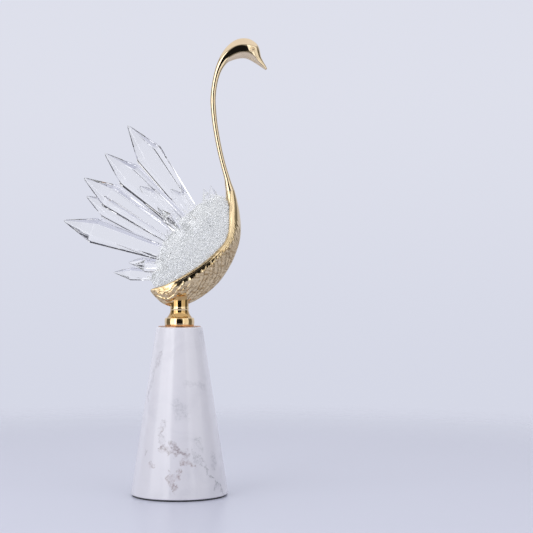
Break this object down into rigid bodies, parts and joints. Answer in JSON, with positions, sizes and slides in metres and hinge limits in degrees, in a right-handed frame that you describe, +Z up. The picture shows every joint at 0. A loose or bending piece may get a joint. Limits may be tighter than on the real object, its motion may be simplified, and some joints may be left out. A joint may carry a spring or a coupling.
{
  "type": "swan figurine",
  "caption": "Gilt swan with a long curved neck on a white marble cone, its open body heaped with crushed glass and a fan of pointed clear crystals.",
  "frame": {"origin": "centre of the felt pad's underside, on the table", "axes": "+Z up, +X the way the swan's bill points, Y across the swan"},
  "size_m": [0.2133, 0.0996, 0.4723],
  "materials": {
    "white_marble": "polished, grey veins",
    "black_felt": "pressed felt",
    "red_brass": "polished",
    "gilt_collar": "mirror polished gold plate",
    "gilt_body": "gold plate over a feather relief",
    "gilt_neck": "mirror polished gold plate",
    "zinc_steel": "zinc plated",
    "cast_resin": "clouded clear resin",
    "crushed_glass": "crushed and glued",
    "clear_glass": "faceted and polished"
  },
  "bodies": {
    "root": {"base_pad": "black_felt", "body_shell": "gilt_body", "brass_disc": "red_brass", "collar": "gilt_collar", "glass_heap": "crushed_glass", "large_crystal_1": "clear_glass", "large_crystal_2": "clear_glass", "large_crystal_3": "clear_glass", "large_crystal_4": "clear_glass", "large_crystal_5": "clear_glass", "large_crystal_6": "clear_glass", "large_crystal_7": "clear_glass", "lower_nut": "zinc_steel", "lower_washer": "zinc_steel", "marble_base": "white_marble", "neck_and_head": "gilt_neck", "resin_fill": "cast_resin", "small_crystal_1": "clear_glass", "small_crystal_10": "clear_glass", "small_crystal_11": "clear_glass", "small_crystal_2": "clear_glass", "small_crystal_3": "clear_glass", "small_crystal_4": "clear_glass", "small_crystal_5": "clear_glass", "small_crystal_6": "clear_glass", "small_crystal_7": "clear_glass", "small_crystal_8": "clear_glass", "small_crystal_9": "clear_glass", "spring_washer": "zinc_steel", "threaded_rod": "zinc_steel", "upper_nut": "zinc_steel", "upper_washer": "zinc_steel"}
  },
  "joints": []
}
